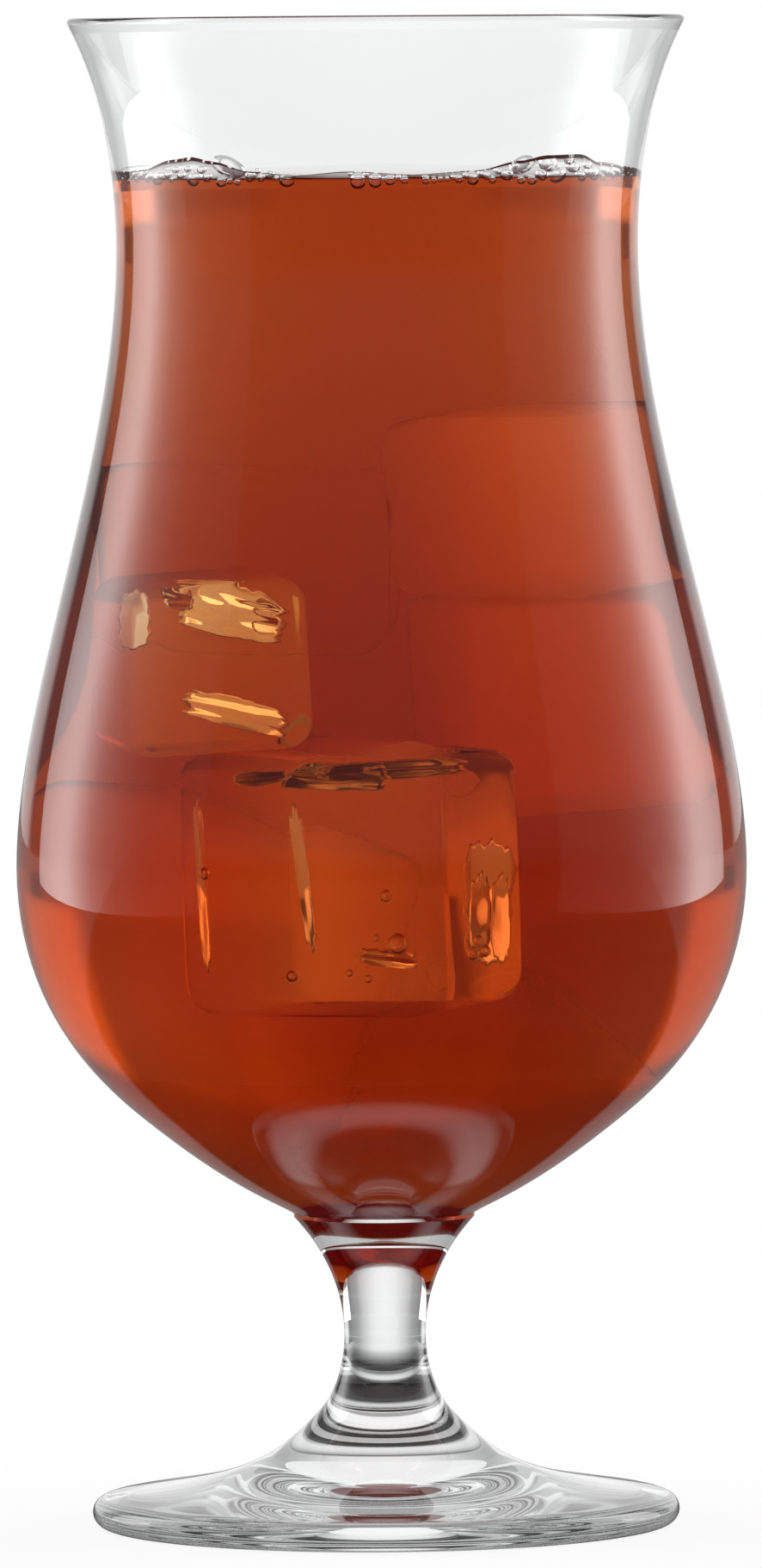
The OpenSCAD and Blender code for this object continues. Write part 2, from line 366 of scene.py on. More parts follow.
def turned(name, curves, cuts, steps):
    """Turns a section of Bezier curves, with as many points along each as cuts, into a closed round body."""
    start()
    bpy.ops.curve.primitive_bezier_curve_add(location=(0, 0, 0))
    piece = bpy.context.object
    piece.name = name
    splines = piece.data.splines
    splines.clear()
    for (p, q, r, s), count in zip(curves, cuts):
        spline = splines.new("BEZIER")
        spline.bezier_points.add(1)
        spline.resolution_u = count
        for knot, co, left, right in zip(spline.bezier_points, (p, s), (p, r), (q, s)):
            knot.handle_left_type = knot.handle_right_type = "FREE"
            knot.co, knot.handle_left, knot.handle_right = co, left, right
    bpy.ops.object.convert(target="MESH")
    piece = bpy.context.object
    edit(piece)
    bpy.ops.mesh.remove_doubles(threshold=MERGE)
    bpy.ops.mesh.select_all(action="SELECT")
    bpy.ops.mesh.spin(steps=steps, angle=2 * math.pi, center=(0, 0, 0), axis=(0, 0, 1))
    bpy.ops.mesh.select_all(action="SELECT")
    bpy.ops.mesh.remove_doubles(threshold=MERGE)
    bpy.ops.mesh.normals_make_consistent(inside=False)
    leave()
    return piece


def place(piece):
    """Puts a piece's place into its mesh, and shades it smooth."""
    take(piece)
    bpy.ops.object.transform_apply(location=True, rotation=True, scale=True)
    bpy.ops.object.shade_smooth()


def joined(parts, name, material):
    """One piece of many parts."""
    start()
    for part in parts:
        part.select_set(True)
    bpy.context.view_layer.objects.active = parts[0]
    bpy.ops.object.join()
    piece = bpy.context.object
    piece.name = name
    piece.data.materials.clear()
    piece.data.materials.append(material)
    place(piece)
    return piece


def from_front(v):
    """Angle of a place from the front, towards +X."""
    return math.atan2(v.x, -v.y)


def edge_rise(v):
    """How far the drink's edge lies over its usual height, in the direction of v."""
    a = (math.degrees(from_front(v)) + 90) % 360 - 90
    for (a0, h0), (a1, h1) in zip(EDGE_RISE, EDGE_RISE[1:]):
        if a0 <= a <= a1:
            t = (a - a0) / (a1 - a0)
            t = t * t * (3 - 2 * t)
            return (h0 + (h1 - h0) * t) * MM
    return 0.0


def slide(v, heights, rise):
    """Moves a point of the wall up along it."""
    z, r = v.co.z + rise, v.co.xy.length
    new = wall_r(heights, z)
    v.co = Vector((v.co.x * new / r, v.co.y * new / r, z))


def dress(piece, *nodes, slot):
    """The piece rides on the one body, and stands for its solids if it has any."""
    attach(piece, "root")
    if nodes:
        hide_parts(*nodes)


# Materials

def add(tree, kind, settings=(), links=()):
    """Adds a node. settings give its properties and inputs their values, and links say which output, or the
    first output of which node, feeds an input."""
    node = tree.nodes.new(kind)
    for key, value in dict(settings).items():
        if isinstance(key, int) or key in node.inputs:
            node.inputs[key].default_value = value
        else:
            setattr(node, key, value)
    for key, source in dict(links).items():
        output = source if isinstance(source, bpy.types.NodeSocket) else source.outputs[0]
        tree.links.new(output, node.inputs[key])
    return node


def new_material(name):
    material = bpy.data.materials.new(name)
    material.use_nodes = True
    material.node_tree.nodes.clear()
    return material, material.node_tree


def clear_glass(name, ior, wave=0.02):
    """Soda-lime glass, blown in a mould and fire-polished: clear and bright, with a faint slow wave left by
    the mould that makes its reflections swim a little. ior is the glass's index over that of what touches it,
    and wave the height of the wave in millimetres."""
    material, tree = new_material(name)
    spot = add(tree, "ShaderNodeTexCoord").outputs["Object"]
    # A wave about every 12 mm, as a blown wall has
    slow = add(tree, "ShaderNodeTexNoise", {"Scale": 1 / (12 * MM), "Detail": 1.0}, {"Vector": spot})
    bump = add(tree, "ShaderNodeBump", {"Strength": 1.0, "Distance": wave * MM},
               {"Height": slow.outputs["Fac"]})
    surface = add(tree, "ShaderNodeBsdfPrincipled",
                  {"Base Color": linear("FCFDFD") + [1], "Roughness": 0.0, "IOR": ior,
                   "Transmission Weight": 1.0},
                  {"Normal": bump})
    add(tree, "ShaderNodeOutputMaterial", links={"Surface": surface})
    return material


def simple_material(name, surface, settings=(), depth=()):
    """A material of one surface node. depth is a volume node's kind and settings, if it has one."""
    material, tree = new_material(name)
    links = {"Surface": add(tree, surface, settings)}
    if depth:
        links["Volume"] = add(tree, *depth)
    add(tree, "ShaderNodeOutputMaterial", links=links)
    return material


def clear_and_wet(rough, ior):
    """A clear surface that bends the light. rough clouds what shows through it."""
    return "ShaderNodeBsdfPrincipled", {"Base Color": (1, 1, 1, 1), "Roughness": rough, "IOR": ior,
                                        "Transmission Weight": 1.0}


def depth_of(tint):
    """What a tinted liquid takes out of light. 100 to the metre, so that tint is what 10 mm lets through."""
    return "ShaderNodeVolumeAbsorption", {"Color": list(tint) + [1], "Density": 100.0}


def drink_surface():
    """The drink's free surface: clear, wet and mirror-smooth."""
    return simple_material("Fruit drink, still surface", *clear_and_wet(0.0, DRINK))


def drink_seam():
    """Where the drink's skin goes over into the drink: nothing to see."""
    return simple_material("Fruit drink, under its surface", "ShaderNodeBsdfTransparent")


def drink_body(tint):
    """The drink against glass or ice: nothing to see at the seam, only the depth of colour behind it."""
    return simple_material("Fruit drink, in depth", "ShaderNodeBsdfTransparent", depth=depth_of(tint))


def clear_ice(name, tint, rough, ior):
    """Clear ice, melting, with bright rounded edges. tint is its colour in depth: for the near cubes the faint
    colour that the drink soaked into them gives, for some far cubes a lighter one that is painted backlight,
    and for the rest the drink's own tint as painted shade. ior is its index over the drink's."""
    return simple_material(name, *clear_and_wet(rough, ior), depth_of(tint))


def shut_in_air(name, around):
    """Air shut in the drink or the ice: it mirrors what is beside it round its edge, and is clear in the
    middle. around is the index of what holds it."""
    return simple_material(name, "ShaderNodeBsdfGlass", {"Roughness": 0.0, "IOR": AIR / around})


def fruit_pulp():
    """Fine pulp that floats in the drink: it scatters the light a little, so that the depths glow dark red and
    the far cubes look soft."""
    haze = {"Color": linear("E84818") + [1], "Density": 5.0, "Anisotropy": 0.6}
    return simple_material("Fruit pulp, fine and floating", "ShaderNodeBsdfTransparent",
                           depth=("ShaderNodeVolumeScatter", haze))


def ramp(tree, value, stops, full=180):
    """Brightness by place: stops are (place, brightness), and full is the place where value is 1."""
    node = add(tree, "ShaderNodeValToRGB", links={"Fac": value})
    marks = node.color_ramp.elements
    while len(marks) > 1:
        marks.remove(marks[-1])
    for i, (at, level) in enumerate(stops):
        mark = marks[0] if i == 0 else marks.new(at / full)
        mark.position = at / full
        mark.color = (level, level, level, 1)
    return node


def by_height(tree, height, under, over, low, high):
    """Changes from one brightness to another between two elevations."""
    part = ramp(tree, height, [(low, 0), (high, 1)])
    return add(tree, "ShaderNodeMix", links={"Factor": part, "A": under, "B": over})


def any_of(tree, path, *names):
    """1 where one of the Light Path's outputs is."""
    last = path.outputs[names[0]]
    for name in names[1:]:
        last = add(tree, "ShaderNodeMath", {"operation": "MAXIMUM"}, {0: last, 1: path.outputs[name]})
    return last


def aside_of(tree, place):
    """How far a place lies to either side of straight behind the glass: 0 is there, and 1 is in front."""
    turn = add(tree, "ShaderNodeMath", {"operation": "ARCTAN2"},
               {0: place.outputs["X"], 1: place.outputs["Y"]})
    aside = add(tree, "ShaderNodeMath", {"operation": "ABSOLUTE"}, {0: turn})
    return add(tree, "ShaderNodeMath", {"operation": "DIVIDE", 1: math.pi}, {0: aside})


# Pieces

class GLASS_OT_blow(bpy.types.Operator):
    """Models the glass as one fused body: bowl, stem and foot"""
    bl_idname = "glass.blow"
    bl_label = "Blow the glass"

    def execute(self, context):
        o = Outline(context.scene)
        piece = turned("hurricane_glass", o.glass(), GLASS_CUTS, 240)
        edit(piece)
        bpy.ops.mesh.bisect(plane_co=(0, 0, o.contact_z), plane_no=(0, 0, 1))
        leave()
        mesh = piece.data
        # The edge of the drink isn't level, so the wet part of the wall ends where the drink's edge does
        heights = rising(o.wall(1)[2])
        near_wall = 0.3 * MM
        for v in mesh.vertices:
            away = abs(v.co.z - o.contact_z)
            if away < EDGE_REACH and CORE_R < v.co.xy.length < wall_r(heights, v.co.z) + near_wall:
                slide(v, heights, edge_rise(v.co) * (1 - away / EDGE_REACH))
        mesh.update()
        faint = 0.003
        kinds = {
            "dry": clear_glass("Soda-lime glass, blown and fire-polished", GLASS / AIR),
            "wet": clear_glass("Soda-lime glass, wetted by the drink", GLASS / DRINK),
            "floor": clear_glass("Soda-lime glass, wetted by the sweetest of the drink", FLOOR_IOR),
            "pressed": clear_glass("Soda-lime glass of the stem and foot, pressed and fire-polished",
                                   GLASS / AIR, faint),
            "bead": clear_glass("Soda-lime glass, the melted bead of the lip", BEAD_IOR, faint),
        }
        for material in kinds.values():
            mesh.materials.append(material)
        order = list(kinds)
        for face in mesh.polygons:
            face.material_index = order.index(self.part(o, face.center, face.normal))
        place(piece)
        bpy.ops.object.shade_smooth_by_angle(angle=SHARP)
        dress(piece, "bowl", "stem", "foot", slot="clear_glass")
        return {"FINISHED"}

    def part(self, o, middle, normal):
        """Which part of the glass a face belongs to."""
        inwards = normal.x * middle.x + normal.y * middle.y < 0 or normal.z > 0.99
        wet_under = o.contact_z + edge_rise(middle)
        if inwards and o.floor_z - 0.05 * MM < middle.z < wet_under:
            return "floor" if middle.z < o.flank_z + SWEET_H else "wet"
        if middle.z < o.shoulder_z:
            return "pressed"
        return "bead" if middle.z > o.rim_z - o.b.lip_wall else "dry"


def melted_cube(w, roundness):
    """A cube of edge w with melted edges, whose flats are cut finer, so that they can be dished."""
    start()
    bpy.ops.mesh.primitive_cube_add(size=w, location=(0, 0, 0))
    piece = bpy.context.object
    edit(piece)
    bpy.ops.mesh.bevel(offset=roundness, offset_type="OFFSET", segments=6, affect="EDGES", profile=0.5)
    leave()
    edit(piece, "DESELECT")
    bpy.ops.mesh.select_mode(type="FACE")
    leave()
    flat = (w - 2 * roundness) ** 2
    for face in piece.data.polygons:
        face.select = face.area > 0.9 * flat
    edit(piece, None)
    bpy.ops.mesh.subdivide(number_cuts=7)
    leave()
    return piece


class GLASS_OT_freeze(bpy.types.Operator):
    """Models the seven ice cubes"""
    bl_idname = "glass.freeze"
    bl_label = "Add the ice"

    def execute(self, context):
        f = context.scene.glass_fill
        floor = Vector((0, 0, Outline(context.scene).floor_z))
        near = clear_ice("Clear ice, melting", f.ice_tint, 0.0, ICE / DRINK)
        # The far cubes come in two copies that differ only in tint: a lighter one, painted backlight, and a
        # darker one in the drink's tint, painted shade
        lit = clear_ice("Clear ice, clouded, lighter as painted backlight", f.painted_backlight_tint, 0.3, FAR_ICE_IOR)
        dim = clear_ice("Clear ice, clouded, with the drink's tint as painted shade", f.depth_tint, 0.3, FAR_ICE_IOR)
        for number, (name, (share, middle, turn)) in enumerate(CUBES.items()):
            w = share * ICE_W
            piece = melted_cube(w, f.cube_round)
            piece.name = "clear_ice_" + name
            self.melt(piece, w, Vector((number * 7.3, number * 3.1, 0)))
            piece.rotation_euler = [math.radians(a) for a in turn]
            piece.location = Vector(middle) * ICE_W + floor
            if name == "front":
                self.ridge(piece, w)
            piece.data.materials.append(near if name in NEAR_CUBES else dim if name in PAINTED_SHADE_CUBES else lit)
            place(piece)
            dress(piece, "ice_" + name, slot="ice")
        return {"FINISHED"}

    def melt(self, piece, w, seed):
        """Sinks the faces towards their middles, unevenly, and each cube in its own way."""
        dish, all_over, uneven, patch = 0.35 * MM, 0.1 * MM, 0.15 * MM, 9 * MM
        for v in piece.data.vertices:
            inner = [max(0.0, 1 - (2 * abs(c) / w) ** 2) for c in v.co]
            sink = dish * (inner[0] * inner[1] + inner[1] * inner[2] + inner[2] * inner[0])
            v.co -= v.co.normalized() * max(0.0, sink + noise(v.co / patch + seed) * uneven + all_over)

    def ridge(self, piece, w):
        """Melts the top into a ridge, just right of its middle, and hollows."""
        ridge_h, ridge_x, ridge_w = 1.3 * MM, 1 * MM, 4.5 * MM
        hollow_h, hollow_w = 0.5 * MM, 1.6 * MM
        for v in piece.data.vertices:
            if v.co.z > 0.4 * w:
                v.co.z += ridge_h * math.exp(-((v.co.x - ridge_x) / ridge_w) ** 2)
                v.co.z += hollow_h * math.sin(v.co.x / hollow_w) * (0.5 - v.co.y / w)


class GLASS_OT_pour(bpy.types.Operator):
    """Models the drink, with a room for each cube, its surface and its pulp"""
    bl_idname = "glass.pour"
    bl_label = "Pour the drink"

    def execute(self, context):
        o = Outline(context.scene)
        f = context.scene.glass_fill
        piece = turned("fruit_drink", o.drink(1, f.seam), DRINK_CUTS, 180)
        self.follow_edge(piece, o, f)
        body = drink_body(f.depth_tint)
        piece.data.materials.append(body)
        rooms = [self.room(name, f.seam, body) for name in CUBES]
        start()
        for part in rooms + [piece]:
            part.select_set(True)
        context.view_layer.objects.active = piece
        bpy.ops.object.join()
        place(piece)
        bpy.ops.object.shade_smooth_by_angle(angle=SHARP)
        dress(piece, "drink", slot="drink")
        pulp = turned("fruit_pulp", o.drink(2, 5 * f.seam), DRINK_CUTS, 90)
        pulp.data.materials.append(fruit_pulp())
        skin = turned("fruit_drink_surface", o.skin(3 * f.seam), SKIN_CUTS, 180)
        self.follow_edge(skin, o, f)
        skin.data.materials.append(drink_surface())
        skin.data.materials.append(drink_seam())
        for face in skin.data.polygons:
            face.material_index = 0 if face.normal.z > 0.02 else 1
        for piece in (pulp, skin):
            place(piece)
            dress(piece, slot="drink")
        return {"FINISHED"}

    def room(self, name, seam, body):
        """The room in the drink for a cube: the cube's own shape, turned inside out and a seam wider."""
        take(bpy.data.objects["clear_ice_" + name])
        bpy.ops.object.duplicate()
        room = bpy.context.object
        edit(room)
        bpy.ops.transform.shrink_fatten(value=seam)
        bpy.ops.mesh.flip_normals()
        leave()
        room.data.materials.clear()
        room.data.materials.append(body)
        # The copy isn't a piece of its own, so it keeps none of the cube's marks
        for key in list(room.keys()):
            del room[key]
        return room

    def follow_edge(self, piece, o, f):
        """The rise at the wall follows the height of the drink's edge."""
        heights = rising(o.wall(1, f.seam)[2])
        on_wall = 0.005 * MM
        for v in piece.data.vertices:
            r = v.co.xy.length
            if r > CORE_R and v.co.z > o.contact_z - EDGE_REACH:
                if r >= wall_r(heights, v.co.z) - on_wall:
                    share = min(1.0, max(0.0, 1 - (o.contact_z - v.co.z) / EDGE_REACH))
                    slide(v, heights, edge_rise(v.co) * share)
                else:
                    reach = min(1.0, max(0.0, (v.co.z - o.drink_z) / f.rise_h))
                    v.co.z += edge_rise(v.co) * reach ** 1.5
        piece.data.update()


# The froth: bubbles against the wall, by the angle from the front, the height over the drink's surface, the
# width and the height in millimetres
FROTH = {
    "left": [
        (-80, 0.2, 0.8, 0.8), (-77.5, 0.5, 0.7, 0.7), (-75, 0.1, 0.9, 0.8), (-72.5, 0.5, 0.8, 0.8),
        (-71, -0.2, 0.6, 0.6), (-69, 0.4, 0.9, 0.8), (-66.5, 0.1, 0.8, 0.8), (-64, 0.7, 0.9, 0.8),
        (-61.5, 0.2, 1.0, 1.0), (-58, 0.2, 1.9, 1.6), (-53.5, 0.6, 0.8, 0.8), (-52, 0, 0.7, 0.7),
        (-50.5, 1.2, 0.8, 0.8), (-49, 0.5, 1.0, 0.9), (-46.5, 1.3, 0.9, 0.8), (-45.5, 0.1, 1.8, 1.7),
        (-42.5, 1.2, 1.1, 1.0), (-41, 0.3, 1.1, 1.1), (-36, 1.5, 4.9, 2.4), (-37, -0.3, 1.5, 1.1),
        (-34.5, -0.2, 0.9, 0.7), (-32.5, -0.3, 0.9, 0.7), (-29.5, 0.4, 1.3, 1.3), (-27.5, 1.0, 0.8, 0.8),
        (-26.5, 0.2, 1.0, 0.9), (-24.5, 0.5, 1.2, 1.1), (-22.8, 0.1, 0.6, 0.6), (-20.5, -0.1, 1.9, 1.6),
        (-18.5, 0.4, 0.6, 0.6),
    ],
    "middle": [
        (-5.8, 0.6, 0.5, 0.5), (-4.2, -0.3, 1.9, 1.7), (-2.4, 0.5, 0.7, 0.6), (-0.3, -0.3, 1.6, 1.5),
        (1.5, 0, 0.5, 0.5), (3, -0.2, 1.3, 1.1), (4.8, 0.1, 0.7, 0.6), (6.2, -0.2, 1.0, 0.8),
        (11, -0.2, 1.0, 0.9), (12.8, -0.2, 0.7, 0.7), (14.3, -0.1, 0.7, 0.6), (15.8, -0.1, 0.6, 0.6),
        (17.2, 0.1, 0.6, 0.6),
    ],
    "right": [
        (18.6, -0.1, 1.0, 0.9), (20.2, 0.3, 0.7, 0.7), (22, -0.1, 1.5, 1.4), (23.6, 0.5, 0.7, 0.7),
        (25.2, 0.3, 1.1, 1.0), (26.6, -0.2, 1.0, 0.9), (28, 0.8, 1.0, 0.9), (30.5, 0.4, 1.8, 1.4),
        (32.4, 1.4, 0.9, 0.9), (35, 1.5, 3.6, 2.0), (34, -0.3, 1.1, 0.9), (37, -0.3, 1.3, 1.1),
        (40, 0.3, 1.4, 1.3), (42.5, 1.6, 2.2, 2.0), (45, 0.3, 2.8, 1.7), (48, 2.0, 1.2, 1.1),
        (50, 1.2, 1.6, 1.5), (52.5, 0.1, 1.3, 1.2), (54.5, 1.4, 1.1, 1.0), (57.5, 0.4, 1.7, 1.6),
        (60.5, -0.1, 0.8, 0.8), (62, 0.7, 1.0, 0.9), (65, 0.2, 0.9, 0.9), (68, 0.5, 0.8, 0.8),
        (70.5, 0, 0.8, 0.8), (73, 0.4, 0.7, 0.7), (76, 0.1, 0.8, 0.8), (79, 0.4, 0.7, 0.7),
    ],
}
# The tilt of the three large bubbles in degrees, by the same angle
TILT = {-36: 24, 35: -26, 45: -20}
# Room between a bubble and the glass, in millimetres
FROTH_GAP = 0.12
# Air bubbles on the cubes: across, away from the front, height over the table and width, in millimetres
BUBBLES = [
    (0.4, -27.3, 76.3, 1.4), (1.6, -27.2, 71.3, 2.4), (-0.6, -27.6, 71.9, 0.8), (9.4, -23.1, 70.2, 1.5),
    (10.6, -22.6, 70.4, 1.2), (9.9, -22.9, 71.5, 1.1), (-18.2, -20.5, 78.4, 1.3), (-9.8, -30.6, 67.8, 1.3),
    (-3.5, -29.2, 68.2, 0.8), (-1.5, -28.4, 67.6, 0.9),
]
# Cracks in the cubes, thin and full of air: across, away from the front, height, then width and height in
# millimetres, and the turn, lean and tilt in degrees
CRACKS = [
    (10.5, -18.3, 75.4, 6.8, 12.8, 52, 0, 3), (11.9, -18.9, 73.6, 2.8, 8.6, 54, 0, 0),
    (-8.2, -26.4, 78.2, 1.9, 15.0, -52, 0, -10),
    (-16.9, -9.2, 77.0, 1.5, 16.0, -56, 0, -5), (0.5, -21.5, 69.8, 9.0, 1.8, 50, 0, 4),
    (0.9, -19.9, 89.3, 16.0, 3.4, 26, 50, 0), (-4.5, -21.0, 88.6, 11.0, 4.4, 22, 50, 4),
    (-11.6, -17.2, 88.3, 7.0, 2.2, -36, 50, -3),
    (-14.4, -10.6, 106.9, 16.0, 5.6, -54, 0, 5), (-25.2, -13.0, 106.6, 5.0, 6.6, -60, 0, -4),
    (-14.0, -11.4, 95.4, 15.0, 3.4, -54, 0, 7), (-20.6, -13.6, 108.6, 5.0, 1.6, -58, 0, 0),
]
CRACK_THICK = 0.12 * MM


class GLASS_OT_froth(bpy.types.Operator):
    """Models the bubbles at the drink's surface and on the ice, and the cracks in the ice"""
    bl_idname = "glass.froth"
    bl_label = "Add the bubbles"

    def execute(self, context):
        o = Outline(context.scene)
        heights = rising(o.wall(1)[2])
        air = shut_in_air("Air, shut in the drink", DRINK)
        for side, bubbles in FROTH.items():
            parts = []
            for turn, over, wide, high in bubbles:
                a, z = math.radians(turn), o.drink_z + over * MM
                deep = min(wide, high) * MM
                away = wall_r(heights, z - high * MM / 4) - deep / 2 - FROTH_GAP * MM
                spot = Vector((math.sin(a), -math.cos(a), 0)) * away + Vector((0, 0, z))
                tilt = math.radians(TILT.get(turn, 0))
                parts.append(bubble(spot, (wide * MM, deep, high * MM), (0, tilt, a)))
            dress(joined(parts, "froth_bubbles_" + side, air), "froth_" + side, slot="froth")
        parts = [bubble(Vector((x, y, z)) * MM, (d * MM,) * 3, (0, 0, 0)) for x, y, z, d in BUBBLES]
        dress(joined(parts, "bubbles_on_ice", air), slot="froth")
        parts = []
        for x, y, z, wide, high, turn, lean, tilt in CRACKS:
            parts.append(crack(Vector((x, y, z)) * MM, wide * MM, high * MM, (lean, tilt, turn)))
        dress(joined(parts, "cracks_in_ice", shut_in_air("Air, shut in the ice", ICE)), slot="ice")
        return {"FINISHED"}


def bubble(spot, sizes, turn):
    """A bubble of three sizes at spot."""
    start()
    bpy.ops.mesh.primitive_uv_sphere_add(segments=24, ring_count=16, radius=0.5, location=spot, rotation=turn)
    part = bpy.context.object
    part.scale = sizes
    place(part)
    return part


def crack(spot, wide, high, turn):
    """A thin crack about spot, upright before its turn, with a ragged outline and slightly uneven faces."""
    start()
    bpy.ops.mesh.primitive_grid_add(x_subdivisions=14, y_subdivisions=28, size=1, location=(0, 0, 0))
    part = bpy.context.object
    seed = spot * (1 / MM)
    rag, rag_more_up, rag_side, uneven, corner = 0.12, 0.25, 0.2, 0.022, 1.2
    for v in part.data.vertices:
        x, y = v.co.x, v.co.y
        # Rounder than its grid, and ragged most at the top
        round_x, round_y = x * math.sqrt(1 - corner * y * y), y * math.sqrt(1 - corner * x * x)
        rag_y = 1 + (rag + rag_more_up * max(0.0, y)) * noise(Vector((x * 9, 0, 0)) + seed)
        rag_x = 1 + rag_side * noise(Vector((0, y * 7, 0)) + seed)
        warp = uneven * noise(Vector((x * 1.5, y * 3, 0)) + seed) * wide
        v.co = Vector((round_x * rag_x * wide, -warp, round_y * rag_y * high))
    edit(part)
    bpy.ops.mesh.solidify(thickness=CRACK_THICK)
    bpy.ops.mesh.select_all(action="SELECT")
    bpy.ops.mesh.normals_make_consistent(inside=False)
    leave()
    part.rotation_euler = [math.radians(a) for a in turn]
    part.location = spot
    place(part)
    return part


# The studio. What stands round the glass has its brightness by degrees from straight behind it, where white
# paper is 1

# What stands low behind the glass, as the stem and the foot show it
LOW_FAN = [(0, 0.95), (10, 0.9), (30, 0.38), (50, 0.2), (57, 0.95), (75, 1.1), (110, 0.95)]
# The paper far behind, in a soft grey towards both sides, as the clear lip shows it
LIP_FAN = [(0, 0.92), (7, 0.9), (10, 0.8), (15, 0.74), (25, 0.6), (35, 0.9)]
# The backdrop as the drink shows it: a dark gap ends it on each side, and then come the side panels
PANELS = [(57.5, 1.15), (65, 1.4), (72, 2.1), (84, 2.1), (95, 1.2), (110, 1)]
BACK_LOW = [(0, 1), (48, 0.95), (50.5, 0.45), (55.5, 0.45)] + PANELS
BACK_MIDDLE = [(0, 1), (10, 0.97), (14, 0.8), (34, 0.78), (39, 2.1), (60, 2.2)] + PANELS[1:]
BACK_HIGH = [(0, 0.6), (48, 0.6), (50.5, 0.35), (55.5, 0.35)] + PANELS
# The backdrop as clear glass alone shows it
BACK_CLEAR = [(0, 1), (8, 0.95), (16, 0.78), (24, 0.58), (28, 0.42), (50, 0.22)] + LOW_FAN[4:]
# The studio for light that was mirrored once inside the glass or the ice
INSIDE = [(0, 1), (48, 0.95), (50.5, 0.3), (55.5, 0.3), (57.5, 1.6), (65, 3.2), (80, 3.2), (95, 0.8),
          (115, 0.55), (180, 0.5)]
# The studio as outer faces mirror it: the room in front is dim
MIRRORED_LOW = [(0, 0.95), (28, 0.8), (33, 0.1), (120, 0.02), (180, 0.02)]
MIRRORED_HIGH = [(0, 0.95), (28, 0.8), (33, 0.12), (120, 0.15), (180, 0.2)]
# Glow across a side panel from its front edge to its back edge, whose lamp stands behind its middle
PANEL_GLOW = [(0, 0.03), (0.12, 0.05), (0.17, 0.08), (0.225, 0.13), (0.27, 0.21), (0.32, 0.36), (0.37, 0.62),
              (0.417, 0.84), (0.468, 1.0), (0.543, 0.93), (0.617, 0.78), (0.734, 0.58), (0.934, 0.38),
              (1, 0.33)]
# Ends of the right panel and the height of both, in metres, and how bright their middle is
PANEL_FRONT, PANEL_BACK = Vector((0.325, -0.228, 0)), Vector((0.740, 0.753, 0))
PANEL_H, PANEL_LEVEL = 0.72, 3.6
# The camera's place in metres, its lens in millimetres, and in degrees how far it looks down and is turned
CAMERA_AWAY, CAMERA_H, LENS = 1.7, 0.172, 331.3
LOOK_DOWN, ROLL = 2.843, -0.42


